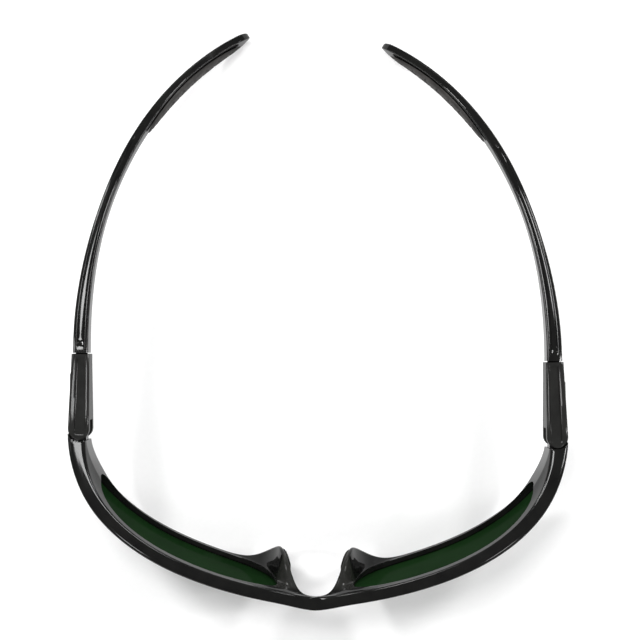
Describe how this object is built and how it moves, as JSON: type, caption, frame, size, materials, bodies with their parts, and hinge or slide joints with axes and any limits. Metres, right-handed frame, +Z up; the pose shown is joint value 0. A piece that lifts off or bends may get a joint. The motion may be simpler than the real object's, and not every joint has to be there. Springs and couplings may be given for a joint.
{
  "type": "welding spectacles",
  "caption": "Wraparound safety spectacles for welding: full black rim front, dark green lenses, folding temples with soft tip grips.",
  "frame": {"origin": "middle of the footprint on the table, spectacles standing on the lower rims and temple tips", "axes": "+X towards the wearer's left, the front faces -Y and the temples run to +Y, +Z up"},
  "size_m": [0.145, 0.1704, 0.0411],
  "materials": {
    "black_nylon": "gloss",
    "grey_nylon": "satin",
    "green_lens": "polished, see-through dark green",
    "nose_rubber": "satin",
    "grip_rubber": "matt",
    "steel": "plain"
  },
  "bodies": {
    "front": {"front_frame": "black_nylon", "lens_left": "green_lens", "lens_right": "green_lens", "nose_pad_left": "nose_rubber", "nose_pad_right": "nose_rubber"},
    "temple_left": {"temple_base_left": "grey_nylon", "side_plate_left": "grey_nylon", "temple_arm_left": "black_nylon", "tip_pad_left": "grip_rubber", "hinge_screw_left": "steel"},
    "temple_right": {"temple_base_right": "grey_nylon", "side_plate_right": "grey_nylon", "temple_arm_right": "black_nylon", "tip_pad_right": "grip_rubber", "hinge_screw_right": "steel"}
  },
  "joints": [
    {"name": "temple_left_fold", "type": "hinge", "parent": "front", "child": "temple_left", "pos_m": [0.0694, -0.0343, 0.0295], "axis": [0, 0, 1], "range_deg": [-2.7, 75]},
    {"name": "temple_right_fold", "type": "hinge", "parent": "front", "child": "temple_right", "pos_m": [-0.0694, -0.0343, 0.0295], "axis": [0, 0, -1], "range_deg": [0, 69]}
  ]
}
